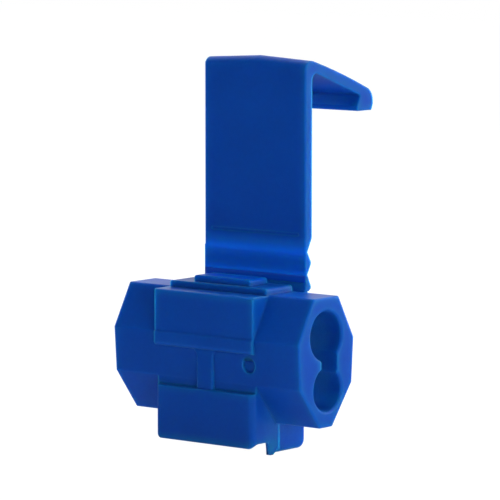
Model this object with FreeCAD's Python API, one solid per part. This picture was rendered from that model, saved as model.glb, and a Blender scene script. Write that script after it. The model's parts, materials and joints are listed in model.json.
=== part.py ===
# Quick-splice wire tap: a moulded housing for two wires, a hinged locking strap and a slotted contact blade.
# X runs along the wires, +Y is the back where the blade is pressed in, +Z is up.
# The finished part stands on Z = 0, with the wire tube's middle plane and its half length at the origin.
# Heights are first counted from the run bore's axis.
import FreeCAD, Part
import math
import os

os.makedirs("parts", exist_ok=True)

# Wire ports
tube_length = 20.0
run_bore = 4.2
tap_bore = 3.7
bore_pitch = 4.46
tap_back = 0.2
tap_stop = 2.0
neck_width = 1.7
mouth_chamfer = 0.15

# Eight-sided tube, as half depths and heights above or below the run bore's axis
tube_top = 3.23
tube_shoulder = -0.4
tube_waist = -4.18
tube_foot = -7.63
half_top = 1.66
half_shoulder = 3.73
half_waist = 3.48
half_foot = 0.83
tube_edge = 0.15

# Central block
block_half = 5.3
block_top = 3.2
back_chamfer = 0.7
back_foot = -7.2
slab_proud = 0.16
slab_foot = -0.32
slab_round = 0.12
lip_foot = -1.57
lip_proud = 0.12
lip_round = 0.32
lip_groove = 0.06
pocket_depth = 0.28
pocket_foot = -4.85
skirt_lead = 0.1
stem_half = 0.88
stem_proud = 0.08
stem_flare = 0.42
stem_round = 0.12
corner_round = 0.55
skirt_foot = -9.55
skirt_round = 0.15
ledge_rise = 0.45
ledge_slope = 1.45
ledge_round = 0.2
pin_mark = 1.3
pin_mark_depth = 0.14
pin_mark_from_end = 0.68
pin_mark_z = -2.52

# Steps on top of the block
tier_half = (5.2, 3.0)
tier_front = (1.95, 1.4)
tier_back = (1.5, 0.9)
tier_rise = (0.55, 0.55)
tier_round = 0.25
tier_sunk = 0.4

# Catch and foot
catch_front = -1.65
catch_drop = 0.33
catch_lean = 0.12
catch_round = 0.1
foot_inset = 0.4
foot_front = -0.35
foot_back = 3.7
foot_drop = 0.35
foot_round = 0.75
foot_corner = 0.3
foot_root = 0.5
tooth_width = 0.35
tooth_lead = 0.1
tooth_depth = 0.5
tooth_root = 1.0

# Locking strap and its living hinge
strap_half = 5.46
strap_front = 2.97
strap_thick = 0.86
strap_edge = 0.12
web_thick = 0.25
body_web = 0.42
hinge_foot = 3.08
rib_heights = (1.41, 1.91)
rib_peaks = (0.33, 0.96)
fold_y = 4.046
fold_z = 4.11
peak_drop = 0.12
peak_half = 0.09
peak_round = 0.06
strap_notch = 1.15
body_notch = 0.8
body_sill = 0.12
bend_outer = 0.8
arm_slope = 19.1
arm_bow = 0.13
arm_depth = 1.11
arm_fillet = 0.6
under_slope = 19.4
crown_rise = 0.3
nose_height = 1.926
nose_round = 1.25
nose_lean = 0.22
nose_lean_height = 0.5
nose_belly = 0.8
barb_depth = 2.17
barb_land = 0.42
barb_undercut = 0.48
barb_round = 0.1
score_above_hinge = 1.33
score_from_edge = 0.76
score_depth = 0.08
score_width = 0.22

# Clearances of the shut strap
back_clearance = 0.21
barb_clearance = 0.37
tip_clearance = 0.08

# Contact blade
blade_thick = 0.7
blade_clearance = 0.05
blade_length = 6.3
blade_lead = 0.15
blade_margin = 2.25
blade_slot = 0.9
blade_slot_depth = 3.6
blade_mouth = 2.1
blade_mouth_depth = 1.1
blade_corner = 0.4
blade_tip_round = 0.3

# Places that follow from the sizes above
tube_half = tube_length / 2
slab_front = half_shoulder + slab_proud
skirt_front = slab_front
skirt_top = pocket_foot - skirt_lead
ledge_top = skirt_foot + ledge_rise
catch_foot = skirt_foot - catch_drop
stand_z = catch_foot - foot_drop
foot_half = block_half - foot_inset
strap_back = strap_front + strap_thick
root_y = strap_front + web_thick
body_root = strap_front + body_web
root_heights = (hinge_foot, hinge_foot + rib_heights[0], hinge_foot + sum(rib_heights))
rib_back = strap_back - peak_drop
block_back = 2 * fold_y - strap_back - back_clearance
barb_front = 2 * fold_y - catch_front + barb_clearance
barb_foot = 2 * fold_z - skirt_foot + tip_clearance
hook_reach = barb_front + barb_depth
rise_per_mm = math.tan(math.radians(arm_slope))
ridge = barb_foot + nose_height + (hook_reach - strap_front) * rise_per_mm
blade_top = blade_margin
blade_foot = -bore_pitch - blade_margin
blade_tip = run_bore / 2 - blade_lead
blade_back = blade_tip + blade_length
blade_travel = blade_back - block_back


def vec(x, y, z):
    return FreeCAD.Vector(x, y, z)


def corner_arc(before, point, after, radius):
    # Tangent arc that rounds one corner of an outline.
    a = (before - point).normalize()
    b = (after - point).normalize()
    half = a.getAngle(b) / 2
    reach = radius / math.tan(half)
    start = point + a * reach
    end = point + b * reach
    middle = (a + b).normalize()
    centre = point + middle * (radius / math.sin(half))
    return start, centre - middle * radius, end


def outline(corners):
    # Closed wire from (vector, radius) corners; a radius of 0 leaves the corner sharp.
    count = len(corners)
    stations = []
    for i, (point, radius) in enumerate(corners):
        if radius:
            before = corners[i - 1][0]
            after = corners[(i + 1) % count][0]
            stations.append(corner_arc(before, point, after, radius))
        else:
            stations.append((point, None, point))
    edges = []
    for i, (start, middle, end) in enumerate(stations):
        if middle is not None:
            edges.append(Part.Arc(start, middle, end).toShape())
        following = stations[(i + 1) % count][0]
        if (following - end).Length > 1e-6:
            edges.append(Part.makeLine(end, following))
    return Part.Wire(edges)


def prism_x(corners, low, high):
    # Outline given as (y, z) or (y, z, radius), carried along X.
    placed = [(vec(low, c[0], c[1]), c[2] if len(c) > 2 else 0) for c in corners]
    return Part.Face(outline(placed)).extrude(vec(high - low, 0, 0))


def prism_y(corners, low, high):
    # Outline given as (x, z) or (x, z, radius), carried along Y.
    placed = [(vec(c[0], low, c[1]), c[2] if len(c) > 2 else 0) for c in corners]
    return Part.Face(outline(placed)).extrude(vec(0, high - low, 0))


def box(x0, x1, y0, y1, z0, z1):
    return Part.makeBox(x1 - x0, y1 - y0, z1 - z0, vec(x0, y0, z0))


def front_at(z):
    # Depth of the tube's steep middle faces at a height.
    share = (z - tube_waist) / (tube_shoulder - tube_waist)
    return half_waist + share * (half_shoulder - half_waist)


pocket_front = front_at(slab_foot) - pocket_depth
stem_front = front_at(lip_foot) + stem_proud


def near(value, target):
    return abs(value - target) < 0.01


def end_edges(solid, x, y):
    # Upright edges at a depth, at both ends of a piece that is symmetric along X.
    found = []
    for edge in solid.Edges:
        middle = edge.CenterOfMass
        if near(abs(middle.x), x) and near(middle.y, y) and near(edge.BoundBox.YLength, 0):
            found.append(edge)
    return found


def tube():
    right = [
        (half_top, tube_top),
        (half_shoulder, tube_shoulder),
        (half_waist, tube_waist),
        (half_foot, tube_foot),
    ]
    left = [(-y, z) for y, z in reversed(right)]
    corners = [(y, z, tube_edge) for y, z in right + left]
    solid = prism_x(corners, -tube_half, tube_half)
    rims = [e for e in solid.Edges if near(abs(e.CenterOfMass.x), tube_half)]
    return solid.makeFillet(tube_edge, rims)


def block_core():
    # The body of the block, from the pocket in its front to the back that the strap shuts on.
    corners = [
        (-pocket_front, slab_foot),
        (-pocket_front, pocket_foot),
        (corner_round - skirt_front, pocket_foot),
        (corner_round - skirt_front, ledge_top),
        (catch_front - catch_lean, ledge_top, ledge_round),
        (catch_front, catch_foot, catch_round),
        (foot_front, catch_foot),
        (foot_front, back_foot),
        (block_back - back_chamfer, back_foot),
        (block_back, back_foot + back_chamfer),
        (block_back, hinge_foot - body_notch),
        (body_root, hinge_foot),
        (strap_front, hinge_foot),
        (strap_front, hinge_foot - body_sill),
        (half_top, hinge_foot - body_sill),
        (half_top, block_top),
        (-half_top, block_top),
        (-half_top, slab_foot),
    ]
    return prism_x(corners, -block_half, block_half)


def skirt():
    # Lower front of the block, rounded at its two upright corners and undercut towards the catch.
    corners = [
        (corner_round - skirt_front, pocket_foot),
        (-skirt_front, skirt_top),
        (-skirt_front, skirt_foot, skirt_round),
        (ledge_slope - skirt_front, ledge_top, ledge_round),
        (catch_front - catch_lean, ledge_top),
        (catch_front - catch_lean, pocket_foot),
    ]
    solid = prism_x(corners, -block_half, block_half)
    return solid.makeFillet(corner_round, end_edges(solid, block_half, -skirt_front))


def slab():
    # Upper front slab that ends in a proud rounded lip.
    lip_front = slab_front + lip_proud
    corners = [
        (0, block_top),
        (-slab_front, block_top, slab_round),
        (-slab_front, slab_foot, lip_groove),
        (-lip_front, slab_foot - lip_proud, slab_round),
        (-lip_front, lip_foot, lip_round),
        (0, lip_foot),
    ]
    return prism_x(corners, -block_half, block_half)


def stem():
    # Upright of the T under the lip, flared where it leaves it.
    wide = stem_half + stem_flare
    corners = [
        (-wide, lip_foot + lip_round),
        (wide, lip_foot + lip_round),
        (wide, lip_foot),
        (stem_half, lip_foot - stem_flare, stem_flare),
        (stem_half, skirt_top),
        (-stem_half, skirt_top),
        (-stem_half, lip_foot - stem_flare, stem_flare),
        (-wide, lip_foot),
    ]
    solid = prism_y(corners, -stem_front, -half_top)
    return solid.makeFillet(stem_round, end_edges(solid, stem_half, -stem_front))


def tiers():
    # Two steps moulded on top of the block.
    solids = []
    level = block_top
    for half, front, back, rise in zip(tier_half, tier_front, tier_back, tier_rise):
        level += rise
        low = block_top - tier_sunk
        corners = [(-half, low), (half, low), (half, level, tier_round), (-half, level, tier_round)]
        solids.append(prism_y(corners, -front, back))
    return solids


def foot():
    # Rear foot under the block, rounded where it meets the table.
    root = back_foot + foot_root
    corners = [
        (foot_front - foot_root, root),
        (foot_front - foot_root, catch_foot),
        (foot_front, stand_z, catch_round),
        (foot_back, stand_z, foot_round),
        (foot_back, root),
    ]
    solid = prism_x(corners, -foot_half, foot_half)
    return solid.makeFillet(foot_corner, end_edges(solid, foot_half, foot_back))


def catch_teeth():
    # Small teeth at the block's two ends that the barb snaps behind.
    teeth = []
    for low, high in ((-block_half, tooth_width - block_half), (block_half - tooth_width, block_half)):
        corners = [
            (catch_front - tooth_lead, catch_foot + tooth_root),
            (catch_front, stand_z, catch_round),
            (catch_front + tooth_depth, stand_z, catch_round),
            (catch_front + tooth_root, catch_foot),
            (catch_front + tooth_root, catch_foot + tooth_root),
        ]
        teeth.append(prism_x(corners, low, high))
    return teeth


def bore_x(radius, y, z, low, high):
    return Part.makeCylinder(radius, high - low, vec(low, y, z), vec(1, 0, 0))


def mouth(radius, y, z, side):
    # Chamfer at a bore's mouth.
    tip = vec(side * tube_half, y, z)
    return Part.makeCone(radius + mouth_chamfer, radius, mouth_chamfer, tip, vec(-side, 0, 0))


def wire_ports():
    # Run bore right through, tap bore up to its stop, and the neck between them.
    stop = tap_stop - tube_half
    half_neck = neck_width / 2
    return [
        bore_x(run_bore / 2, 0, 0, -tube_half, tube_half),
        bore_x(tap_bore / 2, tap_back, -bore_pitch, stop, tube_half),
        box(stop, tube_half, tap_back - half_neck, tap_back + half_neck, -bore_pitch, 0),
        mouth(run_bore / 2, 0, 0, 1),
        mouth(run_bore / 2, 0, 0, -1),
        mouth(tap_bore / 2, tap_back, -bore_pitch, 1),
    ]


def blade_slot_cut():
    # Slot in the block that the blade is pressed along.
    half = blade_thick / 2 + blade_clearance
    end = block_back - blade_length - 2 * blade_clearance
    return box(-half, half, end, blade_back, blade_foot - blade_clearance, blade_top + blade_clearance)


def pin_mark_cut():
    # Round mark of an ejector pin in the pocket beside the T.
    start = vec(block_half - pin_mark_from_end, -pocket_front + pin_mark_depth, pin_mark_z)
    return Part.makeCylinder(pin_mark / 2, slab_proud + pin_mark_depth, start, vec(0, -1, 0))


def housing():
    pieces = [tube(), slab(), skirt(), stem(), foot(), hinge_band(root_heights[0], fold_z)]
    solid = block_core().fuse(pieces + tiers() + catch_teeth()).removeSplitter()
    return solid.cut(wire_ports() + [blade_slot_cut(), pin_mark_cut()])


def ribs_profile():
    # Side view of the notched hinge band, from the body's notch up to the strap's.
    corners = [(strap_front, root_heights[0]), (body_root, root_heights[0])]
    for low, high, peak in zip(root_heights, root_heights[1:], rib_peaks):
        corners += [
            (rib_back, low + peak - peak_half, peak_round),
            (rib_back, low + peak + peak_half, peak_round),
            (root_y, high),
        ]
    return corners + [(strap_front, root_heights[2])]


def hinge_band(low, high):
    # The stretch of the band between two heights.
    band = prism_x(ribs_profile(), -strap_half, strap_half)
    return band.common(box(-strap_half, strap_half, 0, strap_back, low, high))


def strap_profile():
    # Side view of the strap, its hook arm and the barb at the tip, before the crown is cut.
    def under_z(y):
        return ridge - arm_depth - (y - strap_front) * math.tan(math.radians(under_slope))

    low = root_heights[2]
    throat = barb_front + barb_undercut
    return [
        (strap_front, low),
        (root_y, low),
        (strap_back, low + strap_notch, barb_round),
        (strap_back, under_z(strap_back), arm_fillet),
        (throat, under_z(throat), 2 * barb_round),
        (barb_front, barb_foot + barb_land, barb_round),
        (barb_front, barb_foot, barb_round / 2),
        (hook_reach - nose_lean, barb_foot, barb_round),
        (hook_reach, barb_foot + nose_lean_height, nose_belly),
        (hook_reach, ridge),
        (strap_front, ridge),
    ]


def crown_cuts():
    # Two slanting cuts that round the bend and the nose, bow the arm and leave a shallow ridge along it.
    front = vec(0, strap_front, ridge)
    tip = vec(0, hook_reach, barb_foot + nose_height)
    slope = math.radians(arm_slope)
    middle = (front + tip) / 2 + vec(0, math.sin(slope), math.cos(slope)) * arm_bow
    bend = corner_arc(vec(0, strap_front, barb_foot), front, middle, bend_outer)
    nose = corner_arc(middle, tip, vec(0, hook_reach, barb_foot), nose_round)
    above = ridge + nose_height
    before = strap_front - strap_thick
    beyond = hook_reach + nose_round
    rim = [nose[2], vec(0, beyond, nose[2].z), vec(0, beyond, above), vec(0, before, above)]
    rim += [vec(0, before, bend[0].z), bend[0]]
    edges = [Part.Arc(*points).toShape() for points in (bend, (bend[2], middle, nose[0]), nose)]
    edges += [Part.makeLine(a, b) for a, b in zip(rim, rim[1:])]
    face = Part.Face(Part.Wire(edges))
    across = 2 * strap_half
    fall = 2 * crown_rise
    return [face.extrude(vec(side, 0, -fall)) for side in (-across, across)]


def score_cut():
    # Shallow groove across the strap's front above the hinge.
    low = root_heights[2] + score_above_hinge
    half = strap_half - score_from_edge
    return box(-half, half, strap_front - strap_thick, strap_front + score_depth, low, low + score_width)


def locking_strap():
    solid = prism_x(strap_profile(), -strap_half, strap_half)
    solid = solid.makeFillet(strap_edge, end_edges(solid, strap_half, strap_front))
    solid = solid.fuse(hinge_band(fold_z, root_heights[2])).removeSplitter()
    return solid.cut(crown_cuts() + [score_cut()])


def contact_blade():
    # Flat blade with two slots whose flared mouths lead the wires in, shown before it is pressed home.
    slot_end = blade_tip + blade_slot_depth
    end_round = blade_slot / 2 - blade_clearance / 10
    corners = [(blade_back, blade_foot, blade_corner), (blade_tip, blade_foot, blade_tip_round)]
    for axis in (-bore_pitch, 0):
        corners += [
            (blade_tip, axis - blade_mouth / 2),
            (blade_tip + blade_mouth_depth, axis - blade_slot / 2),
            (slot_end, axis - blade_slot / 2, end_round),
            (slot_end, axis + blade_slot / 2, end_round),
            (blade_tip + blade_mouth_depth, axis + blade_slot / 2),
            (blade_tip, axis + blade_mouth / 2),
        ]
    corners += [(blade_tip, blade_top, blade_tip_round), (blade_back, blade_top, blade_corner)]
    return prism_x(corners, -blade_thick / 2, blade_thick / 2)


parts = {
    "housing": housing(),
    "locking_strap": locking_strap(),
    "contact_blade": contact_blade(),
}

for name, shape in parts.items():
    shape.translate(vec(0, 0, -stand_z))
    shape.exportStep("parts/" + name + ".step")
    extent = shape.optimalBoundingBox(False)
    low = [round(v, 3) for v in (extent.XMin, extent.YMin, extent.ZMin)]
    high = [round(v, 3) for v in (extent.XMax, extent.YMax, extent.ZMax)]
    print(name, "solids", len(shape.Solids), "valid", shape.isValid(), "from", low, "to", high)
print("blade travel", round(blade_travel, 4), "run bore height", round(-stand_z, 3))
print("fold line y", fold_y, "z", round(fold_z - stand_z, 4))
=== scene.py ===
# Quick-splice wire tap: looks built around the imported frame. Lengths are in metres unless a name says mm.
import json
import math
import bmesh
import bpy
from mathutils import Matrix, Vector


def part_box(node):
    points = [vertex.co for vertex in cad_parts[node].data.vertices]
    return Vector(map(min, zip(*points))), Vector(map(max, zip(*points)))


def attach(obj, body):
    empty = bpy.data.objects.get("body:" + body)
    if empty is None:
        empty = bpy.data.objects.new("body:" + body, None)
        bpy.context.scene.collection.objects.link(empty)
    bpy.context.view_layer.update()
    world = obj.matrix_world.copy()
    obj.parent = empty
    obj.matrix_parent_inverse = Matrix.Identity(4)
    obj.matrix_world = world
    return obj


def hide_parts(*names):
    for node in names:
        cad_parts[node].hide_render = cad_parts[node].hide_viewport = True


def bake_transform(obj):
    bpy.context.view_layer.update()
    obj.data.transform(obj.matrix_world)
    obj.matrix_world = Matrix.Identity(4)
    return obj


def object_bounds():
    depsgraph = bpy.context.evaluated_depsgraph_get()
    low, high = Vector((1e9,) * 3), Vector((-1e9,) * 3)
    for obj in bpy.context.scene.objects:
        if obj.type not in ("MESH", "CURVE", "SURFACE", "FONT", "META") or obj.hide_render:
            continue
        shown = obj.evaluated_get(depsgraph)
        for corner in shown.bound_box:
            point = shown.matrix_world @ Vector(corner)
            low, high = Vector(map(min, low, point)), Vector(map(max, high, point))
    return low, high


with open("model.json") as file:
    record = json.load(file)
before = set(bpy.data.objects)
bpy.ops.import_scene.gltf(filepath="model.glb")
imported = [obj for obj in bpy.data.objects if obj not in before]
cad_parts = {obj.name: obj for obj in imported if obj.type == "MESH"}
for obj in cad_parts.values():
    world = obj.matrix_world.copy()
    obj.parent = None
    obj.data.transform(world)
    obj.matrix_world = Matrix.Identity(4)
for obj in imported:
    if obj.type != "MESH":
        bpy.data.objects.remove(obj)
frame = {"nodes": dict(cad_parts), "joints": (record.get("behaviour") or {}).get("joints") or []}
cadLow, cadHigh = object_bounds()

mm = 0.001
scene = bpy.context.scene
print("frame loaded:", ", ".join(sorted(frame["nodes"])))


def linearColour(hexText, alpha=1.0):
    # sRGB hex to the linear values that sockets take
    values = []
    for i in (0, 2, 4):
        c = int(hexText[i:i + 2], 16) / 255
        values.append(c / 12.92 if c <= 0.04045 else ((c + 0.055) / 1.055) ** 2.4)
    return (*values, alpha)


def addNode(tree, kind, settings=None, inputs=None, links=None):
    # one node with its settings, its fixed inputs and the sockets that feed it
    node = tree.nodes.new(kind)
    for name, value in (settings or {}).items():
        setattr(node, name, value)
    for name, value in (inputs or {}).items():
        node.inputs[name].default_value = value
    for name, source in (links or {}).items():
        tree.links.new(source, node.inputs[name])
    return node


def newMaterial(name):
    material = bpy.data.materials.new(name)
    material.use_nodes = True
    tree = material.node_tree
    tree.nodes.clear()
    output = addNode(tree, "ShaderNodeOutputMaterial")
    return material, tree, output


def perMm(sizeMm):
    # noise scale that gives features of this size on coordinates in metres
    return 1000 / sizeMm


# injection-moulded polypropylene, dyed blue: an even waxy sheen, and a little light that passes
# into the mass as scatter; the greener edges and paler bores are painted glow mixed into the colour
mouldedPolypropylene = {
    "deep": "053f9a",
    "pale": "0853b8",
    "fleckShare": 0.5,
    # painted backlight: a brighter blue across the thin hinge band, between these two ramps in mm
    "hinge": "004ec8",
    "backlitLowMm": (14.0, 14.4),
    "backlitHighMm": (17.0, 17.9),
    # painted edge glow: a greener blue mixed in where corners and walls are thin
    "edge": "0e72a8",
    "edgeShare": 0.7,
    "edgeReachMm": 0.8,
    "edgeOpen": (0.35, 0.95),
    "edgeRoundMm": 0.26,
    # painted glow in occluded places, mostly the bores: a paler blue
    "hollowGlowBlue": "3a90d8",
    "hollowGlowReachMm": 9.0,
    "hollowGlowOpen": (0.03, 0.3),
    "raySamples": 8,
    "smoothest": 0.29,
    "roughest": 0.41,
    "ior": 1.49,
    "scatter": 0.9,
    "scatterMm": 1.3,
    "scatterColour": (0.1, 0.6, 1.0),
    "noises": {
        "flow": {"sizeMm": 5.0, "detail": 2.0, "roughness": 0.5},
        "wave": {"sizeMm": 3.2, "detail": 2.0, "roughness": 0.5},
        "grain": {"sizeMm": 0.09, "detail": 2.0, "roughness": 0.6},
        "fleck": {"sizeMm": 0.35, "detail": 3.0, "roughness": 0.7},
    },
    "bumps": {
        "wave": {"strength": 0.2, "depthMm": 0.01},
        "grain": {"strength": 0.18, "depthMm": 0.004},
    },
}

# the same plastic where it is flexed thin, with painted backlight: a brighter, purer blue, and no painted
# edge glow and no scatter
backlitWebPolypropylene = {
    **mouldedPolypropylene,
    "deep": "0350c6",
    "pale": "0656d2",
    "edgeShare": 0.0,
    "scatter": 0.0,
}


def makePolypropylene(name, look):
    material, tree, output = newMaterial(name)
    place = addNode(tree, "ShaderNodeTexCoord").outputs["Object"]
    noises = {}
    for pattern, noise in look["noises"].items():
        made = addNode(tree, "ShaderNodeTexNoise", None,
                       {"Scale": perMm(noise["sizeMm"]), "Detail": noise["detail"],
                        "Roughness": noise["roughness"]},
                       {"Vector": place})
        noises[pattern] = made.outputs["Fac"]

    # slow flow marks and small flecks between two blues
    mottle = addNode(tree, "ShaderNodeMix", {"data_type": "FLOAT"}, {"Factor": look["fleckShare"]},
                     {"A": noises["flow"], "B": noises["fleck"]})
    body = addNode(tree, "ShaderNodeMix", {"data_type": "RGBA"},
                   {"A": linearColour(look["deep"]), "B": linearColour(look["pale"])},
                   {"Factor": mottle.outputs["Result"]})

    # painted backlight: between one height and another, across the hinge's thin ribs, the colour is mixed
    # toward a brighter, purer blue
    height = addNode(tree, "ShaderNodeSeparateXYZ", None, None, {"Vector": place})
    lowFrom, lowTo = look["backlitLowMm"]
    highFrom, highTo = look["backlitHighMm"]
    over = addNode(tree, "ShaderNodeMapRange", None,
                   {"From Min": lowFrom * mm, "From Max": lowTo * mm},
                   {"Value": height.outputs["Z"]})
    under = addNode(tree, "ShaderNodeMapRange", None,
                    {"From Min": highFrom * mm, "From Max": highTo * mm,
                     "To Min": 1.0, "To Max": 0.0},
                    {"Value": height.outputs["Z"]})
    backlitZone = addNode(tree, "ShaderNodeMath", {"operation": "MULTIPLY"}, None,
                   {0: over.outputs["Result"], 1: under.outputs["Result"]})
    backlitBanded = addNode(tree, "ShaderNodeMix", {"data_type": "RGBA"},
                     {"B": linearColour(look["hinge"])},
                     {"Factor": backlitZone.outputs["Value"], "A": body.outputs["Result"]})

    # painted glow: near corners and in thin walls the colour is mixed toward a greener blue, standing in
    # for light that crosses from one face to the next
    thin = addNode(tree, "ShaderNodeAmbientOcclusion",
                   {"inside": True, "samples": look["raySamples"]},
                   {"Distance": look["edgeReachMm"] * mm})
    edgeFrom, edgeTo = look["edgeOpen"]
    share = addNode(tree, "ShaderNodeMapRange", None,
                    {"From Min": edgeFrom, "From Max": edgeTo,
                     "To Min": look["edgeShare"], "To Max": 0.0},
                    {"Value": thin.outputs["AO"]})
    edged = addNode(tree, "ShaderNodeMix", {"data_type": "RGBA"},
                    {"B": linearColour(look["edge"])},
                    {"Factor": share.outputs["Result"], "A": backlitBanded.outputs["Result"]})

    # painted glow: strongly occluded places, mostly deep in the bores, are mixed toward a paler blue,
    # standing in for light that reaches them through the wall
    opening = addNode(tree, "ShaderNodeAmbientOcclusion", {"samples": look["raySamples"]},
                      {"Distance": look["hollowGlowReachMm"] * mm})
    hollowGlowFrom, hollowGlowTo = look["hollowGlowOpen"]
    depth = addNode(tree, "ShaderNodeMapRange", None,
                    {"From Min": hollowGlowFrom, "From Max": hollowGlowTo, "To Min": 1.0, "To Max": 0.0},
                    {"Value": opening.outputs["AO"]})
    colour = addNode(tree, "ShaderNodeMix", {"data_type": "RGBA"},
                     {"B": linearColour(look["hollowGlowBlue"])},
                     {"Factor": depth.outputs["Result"], "A": edged.outputs["Result"]})

    # the sheen drifts with the wave; the grain of the mould lies on top of it
    rough = addNode(tree, "ShaderNodeMapRange", None,
                    {"To Min": look["smoothest"], "To Max": look["roughest"]},
                    {"Value": noises["wave"]})
    rounded = addNode(tree, "ShaderNodeBevel", {"samples": look["raySamples"]},
                      {"Radius": look["edgeRoundMm"] * mm})
    normal = rounded.outputs["Normal"]
    for pattern, bump in look["bumps"].items():
        relief = addNode(tree, "ShaderNodeBump", None,
                         {"Strength": bump["strength"], "Distance": bump["depthMm"] * mm},
                         {"Height": noises[pattern], "Normal": normal})
        normal = relief.outputs["Normal"]
    shader = addNode(tree, "ShaderNodeBsdfPrincipled", None,
                     {"IOR": look["ior"], "Subsurface Weight": look["scatter"],
                      "Subsurface Scale": look["scatterMm"] * mm,
                      "Subsurface Radius": look["scatterColour"]},
                     {"Base Color": colour.outputs["Result"],
                      "Roughness": rough.outputs["Result"], "Normal": normal})
    tree.links.new(shader.outputs["BSDF"], output.inputs["Surface"])
    return material


# stamped brass strip, tin plated: pale warm grey metal with fine rolling lines and dull spots
tinPlatedBrass = {
    "tin": "dedcd6",
    "dull": "bfbcb2",
    "metal": 0.7,
    "smoothest": 0.28,
    "roughest": 0.48,
    "lineMm": 0.12,
    "lineDetail": 2.0,
    "lineStretch": (1.0, 0.05, 1.0),
    "lineBump": 0.3,
    "lineDepthMm": 0.003,
    "spotMm": 1.2,
    "spotDetail": 3.0,
}


def makeTinPlatedBrass(name, look):
    material, tree, output = newMaterial(name)
    place = addNode(tree, "ShaderNodeTexCoord").outputs["Object"]
    stretch = addNode(tree, "ShaderNodeMapping", None, {"Scale": look["lineStretch"]},
                      {"Vector": place})
    line = addNode(tree, "ShaderNodeTexNoise", None,
                   {"Scale": perMm(look["lineMm"]), "Detail": look["lineDetail"]},
                   {"Vector": stretch.outputs["Vector"]})
    spot = addNode(tree, "ShaderNodeTexNoise", None,
                   {"Scale": perMm(look["spotMm"]), "Detail": look["spotDetail"]},
                   {"Vector": place})
    colour = addNode(tree, "ShaderNodeMix", {"data_type": "RGBA"},
                     {"A": linearColour(look["tin"]), "B": linearColour(look["dull"])},
                     {"Factor": spot.outputs["Fac"]})
    rough = addNode(tree, "ShaderNodeMapRange", None,
                    {"To Min": look["smoothest"], "To Max": look["roughest"]},
                    {"Value": line.outputs["Fac"]})
    bump = addNode(tree, "ShaderNodeBump", None,
                   {"Strength": look["lineBump"], "Distance": look["lineDepthMm"] * mm},
                   {"Height": line.outputs["Fac"]})
    shader = addNode(tree, "ShaderNodeBsdfPrincipled", None, {"Metallic": look["metal"]},
                     {"Base Color": colour.outputs["Result"],
                      "Roughness": rough.outputs["Result"], "Normal": bump.outputs["Normal"]})
    tree.links.new(shader.outputs["BSDF"], output.inputs["Surface"])
    return material


blueMaterial = makePolypropylene("mouldedPolypropylene", mouldedPolypropylene)
webMaterial = makePolypropylene("backlitWebPolypropylene", backlitWebPolypropylene)
tinMaterial = makeTinPlatedBrass("tinPlatedBrass", tinPlatedBrass)
for nodeName, node in frame["nodes"].items():
    node.data.materials.clear()
    node.data.materials.append(tinMaterial if nodeName == "contact_blade" else blueMaterial)
print("materials made")


def meshFrom(bm, name):
    # mesh data from an edit mesh, which is freed
    mesh = bpy.data.meshes.new(name)
    bm.to_mesh(mesh)
    bm.free()
    return mesh


def addPiece(name, mesh, material):
    piece = bpy.data.objects.new(name, mesh)
    scene.collection.objects.link(piece)
    mesh.materials.append(material)
    return piece


# the housing as the photograph shows it: a wider neck between the bores, one catch tooth, and a
# foot on two rails; each opening is the low and high corner of what is taken away, in mm
# a face is narrow below this share of its perimeter squared; narrow and small faces are rounds
shownHousing = {
    "openings": {
        "neck": ((-7.8, -0.72, 5.8), (10.2, 1.5, 10.2)),
        "farTooth": ((-5.4, -2.2, -0.1), (-4.94, -0.5, 0.352)),
        "catchMiddle": ((-4.94, -2.3, -0.1), (4.94, -0.3, 1.3)),
        "footMiddle": ((-3.9, -0.4, -0.1), (3.9, 4.2, 1.3)),
    },
    "mergeWithin": 0.0001 * mm,
    "flatWithinDegrees": 0.3,
    "narrowBelow": 0.006,
    "smallBelow": 0.3 * mm * mm,
    "smoothBelowDegrees": 32,
}


def closedCopy(name, look):
    # the node's mesh with its vertices merged, so that the openings cut a closed solid
    bm = bmesh.new()
    bm.from_mesh(frame["nodes"]["housing"].data)
    bmesh.ops.remove_doubles(bm, verts=bm.verts, dist=look["mergeWithin"])
    mesh = meshFrom(bm, name)
    stored = mesh.attributes.get("custom_normal")
    if stored:
        mesh.attributes.remove(stored)
    return mesh


def blockMesh(name, low, high):
    # a unit cube about the origin, moved out to the corners that are given in mm
    bm = bmesh.new()
    bmesh.ops.create_cube(bm, size=1.0)
    for vert in bm.verts:
        vert.co = [mm * (a + (b - a) * (c + 0.5)) for a, b, c in zip(low, high, vert.co)]
    return meshFrom(bm, name)


def cutOpenings(piece, openings):
    cutters = []
    for name, (low, high) in openings.items():
        cutter = bpy.data.objects.new(name, blockMesh(name, low, high))
        scene.collection.objects.link(cutter)
        cut = piece.modifiers.new(name, "BOOLEAN")
        cut.operation, cut.solver, cut.object = "DIFFERENCE", "EXACT", cutter
        cutters.append(cutter)
    bpy.context.view_layer.update()
    graph = bpy.context.evaluated_depsgraph_get()
    piece.data = bpy.data.meshes.new_from_object(piece.evaluated_get(graph))
    piece.modifiers.clear()
    for cutter in cutters:
        bpy.data.objects.remove(cutter)


def shadeFaces(piece, look):
    # broad faces are joined and stay flat, and the rounds between them are smooth
    mesh = piece.data
    bm = bmesh.new()
    bm.from_mesh(mesh)
    bmesh.ops.dissolve_limit(bm, angle_limit=math.radians(look["flatWithinDegrees"]),
                             verts=bm.verts, edges=bm.edges)
    bm.to_mesh(mesh)
    bm.free()
    for polygon in mesh.polygons:
        corners = [(mesh.vertices[a].co, mesh.vertices[b].co) for a, b in polygon.edge_keys]
        rim = sum((first - second).length for first, second in corners)
        narrow = polygon.area < look["narrowBelow"] * rim ** 2
        polygon.use_smooth = narrow or polygon.area < look["smallBelow"]
    mesh.set_sharp_from_angle(angle=math.radians(look["smoothBelowDegrees"]))
    flat = piece.modifiers.new("flatFaces", "WEIGHTED_NORMAL")
    flat.keep_sharp = True


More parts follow.
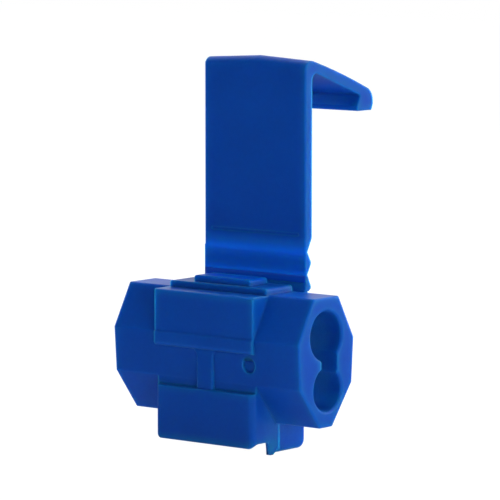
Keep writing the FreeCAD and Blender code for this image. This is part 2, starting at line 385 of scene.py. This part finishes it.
def makeShownHousing(look):
    mesh = closedCopy("shownHousing", look)
    piece = addPiece("shownHousing", mesh, blueMaterial)
    cutOpenings(piece, look["openings"])
    piece.data.materials.clear()
    piece.data.materials.append(blueMaterial)
    shadeFaces(piece, look)
    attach(piece, "housing")
    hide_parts("housing")
    print("housing shown with", len(piece.data.polygons), "faces")


makeShownHousing(shownHousing)

# thin web of the living hinge, which bends where the strap folds
hingeWeb = {
    "proud": 0.012 * mm,
    "deep": 0.28 * mm,
    "tall": 0.56 * mm,
    "inset": 0.02 * mm,
    "steps": 28,
    "across": 16,
}


def webMesh(name, look, half, front, height):
    # strip across the hinge with rows along Z, so that it can bend smoothly
    bm = bmesh.new()
    steps, across = look["steps"], look["across"]
    rings = []
    for i in range(steps + 1):
        z = height + look["tall"] * (i / steps - 0.5)
        xs = [half * (2 * k / across - 1) for k in range(across + 1)]
        ring = [bm.verts.new((x, front - look["proud"], z)) for x in xs]
        ring += [bm.verts.new((x, front + look["deep"], z)) for x in reversed(xs)]
        rings.append(ring)
    count = len(rings[0])
    for low, high in zip(rings, rings[1:]):
        for k in range(count):
            after = (k + 1) % count
            bm.faces.new((low[k], low[after], high[after], high[k]))
    bm.faces.new(list(reversed(rings[0])))
    bm.faces.new(rings[-1])
    bmesh.ops.recalc_face_normals(bm, faces=bm.faces)
    return meshFrom(bm, name)


def makeHingeWeb(look):
    low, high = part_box("locking_strap")
    fold = next(j for j in frame["joints"] if j["name"] == "fold")
    height = fold["pos_m"][2]
    mesh = webMesh("hingeWeb", look, high.x - look["inset"], low.y, height)
    web = addPiece("hingeWeb", mesh, webMaterial)
    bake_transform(web)


makeHingeWeb(hingeWeb)
print("hinge web made")

# plain pale floor and backdrop; the camera, and rays that pass through, see them white
# mirrored rays see them dark towards the camera's side, as in a studio whose front is unlit
# glowShare leaves the floor a little of its own shade; floorTurn is in metres along Y, and
# skyTurn is the Y part of a direction
studio = {
    "white": "ffffff",
    "glow": 1.08,
    "glowShare": 0.92,
    "floor": "e8e9ec",
    "floorSize": 0.6,
    "soft": "dfe6f0",
    "worldLight": 0.195,
    "darkSide": 0.004,
    "brightFloor": 0.22,
    "brightBack": 0.7,
    "floorTurn": (-0.05, 0.06),
    "skyTurn": (-0.4, 0.3),
}


def seenDirectly(tree, path):
    return addNode(tree, "ShaderNodeMath", {"operation": "MAXIMUM"}, None,
                   {0: path.outputs["Is Camera Ray"], 1: path.outputs["Is Transmission Ray"]})


def frontToBack(tree, place, turn, bright):
    # brightness that rises from the camera's side to the back
    parts = addNode(tree, "ShaderNodeSeparateXYZ", None, None, {"Vector": place})
    return addNode(tree, "ShaderNodeMapRange", {"interpolation_type": "SMOOTHSTEP"},
                   {"From Min": turn[0], "From Max": turn[1],
                    "To Min": studio["darkSide"], "To Max": bright},
                   {"Value": parts.outputs["Y"]})


def makeFloorMaterial():
    material, tree, output = newMaterial("paleFloor")
    white = linearColour(studio["white"])
    path = addNode(tree, "ShaderNodeLightPath")
    seen = seenDirectly(tree, path)
    place = addNode(tree, "ShaderNodeNewGeometry")
    depth = frontToBack(tree, place.outputs["Position"], studio["floorTurn"],
                        studio["brightFloor"])
    plain = addNode(tree, "ShaderNodeBsdfDiffuse", None, {"Color": linearColour(studio["floor"])})
    mirrored = addNode(tree, "ShaderNodeEmission", None, {"Color": white},
                       {"Strength": depth.outputs["Result"]})
    glow = addNode(tree, "ShaderNodeEmission", None,
                   {"Color": white, "Strength": studio["glow"]})
    share = addNode(tree, "ShaderNodeMath", {"operation": "MULTIPLY"}, {1: studio["glowShare"]},
                    {0: seen.outputs["Value"]})
    lit = addNode(tree, "ShaderNodeMixShader", None, None,
                  {"Fac": path.outputs["Is Glossy Ray"], 1: plain.outputs["BSDF"],
                   2: mirrored.outputs["Emission"]})
    mixed = addNode(tree, "ShaderNodeMixShader", None, None,
                    {"Fac": share.outputs["Value"], 1: lit.outputs["Shader"],
                     2: glow.outputs["Emission"]})
    tree.links.new(mixed.outputs["Shader"], output.inputs["Surface"])
    return material


def makeFloor():
    size, level = studio["floorSize"], cadLow.z
    corners = [(-size, -size, level), (size, -size, level), (size, size, level),
               (-size, size, level)]
    mesh = bpy.data.meshes.new("floor")
    mesh.from_pydata(corners, [], [(0, 1, 2, 3)])
    floor = bpy.data.objects.new("floor", mesh)
    scene.collection.objects.link(floor)
    mesh.materials.append(makeFloorMaterial())


def makeWorld():
    world = bpy.data.worlds.new("softStudio")
    scene.world = world
    world.use_nodes = True
    tree = world.node_tree
    tree.nodes.clear()
    output = addNode(tree, "ShaderNodeOutputWorld")
    bright = linearColour(studio["white"])
    path = addNode(tree, "ShaderNodeLightPath")
    seen = seenDirectly(tree, path)
    place = addNode(tree, "ShaderNodeTexCoord")
    depth = frontToBack(tree, place.outputs["Generated"], studio["skyTurn"], studio["brightBack"])
    soft = addNode(tree, "ShaderNodeBackground", None,
                   {"Color": linearColour(studio["soft"]), "Strength": studio["worldLight"]})
    mirrored = addNode(tree, "ShaderNodeBackground", None, {"Color": bright},
                       {"Strength": depth.outputs["Result"]})
    white = addNode(tree, "ShaderNodeBackground", None, {"Color": bright, "Strength": 1.0})
    lit = addNode(tree, "ShaderNodeMixShader", None, None,
                  {"Fac": path.outputs["Is Glossy Ray"], 1: soft.outputs["Background"],
                   2: mirrored.outputs["Background"]})
    mixed = addNode(tree, "ShaderNodeMixShader", None, None,
                    {"Fac": seen.outputs["Value"], 1: lit.outputs["Shader"],
                     2: white.outputs["Background"]})
    tree.links.new(mixed.outputs["Shader"], output.inputs["Surface"])


# softboxes round the tap, all aimed at its middle: they light the plastic without showing in it
lamps = {
    "rightSoftbox": {"at": (0.26, 0.03, 0.14), "size": 0.16, "watts": 0.21},
    "portSoftbox": {"at": (0.22, -0.1, 0.05), "size": 0.08, "watts": 0.21},
    "leftSoftbox": {"at": (-0.16, -0.2, 0.12), "size": 0.14, "watts": 0.08},
    "farSoftbox": {"at": (-0.25, 0.07, 0.1), "size": 0.1, "watts": 0.35},
    "topSoftbox": {"at": (0.0, 0.08, 0.26), "size": 0.2, "watts": 0.4},
    "backSoftbox": {"at": (0.02, 0.28, 0.12), "size": 0.2, "watts": 1.1},
}


def makeLamps():
    middle = (cadLow + cadHigh) / 2
    for name, look in lamps.items():
        lamp = bpy.data.lights.new(name, "AREA")
        lamp.shape = "DISK"
        lamp.size = look["size"]
        lamp.energy = look["watts"]
        holder = bpy.data.objects.new(name, lamp)
        holder.location = look["at"]
        holder.visible_glossy = False
        holder.rotation_euler = (middle - holder.location).to_track_quat("-Z", "Y").to_euler()
        scene.collection.objects.link(holder)


# the photograph's camera: long lens, from the right and slightly above; angles in degrees,
# lens and sensor in mm
view = {
    "azimuth": 38.78,
    "elevation": 6.35,
    "away": 313.3 * mm,
    "aim": (1.89 * mm, -0.013 * mm, 16.845 * mm),
    "lens": 269.4,
    "sensor": 36.0,
    "clipStart": 0.01,
}


def makeCamera():
    camera = bpy.data.cameras.new("camera")
    camera.lens = view["lens"]
    camera.sensor_width = view["sensor"]
    camera.clip_start = view["clipStart"]
    holder = bpy.data.objects.new("camera", camera)
    a, e = math.radians(view["azimuth"]), math.radians(view["elevation"])
    back = Vector((math.sin(a) * math.cos(e), -math.cos(a) * math.cos(e), math.sin(e)))
    holder.location = Vector(view["aim"]) + back * view["away"]
    holder.rotation_euler = (-back).to_track_quat("-Z", "Y").to_euler()
    scene.collection.objects.link(holder)
    scene.camera = holder


makeFloor()
makeWorld()
makeLamps()
makeCamera()
scene.view_settings.view_transform = "Standard"
print("studio made")
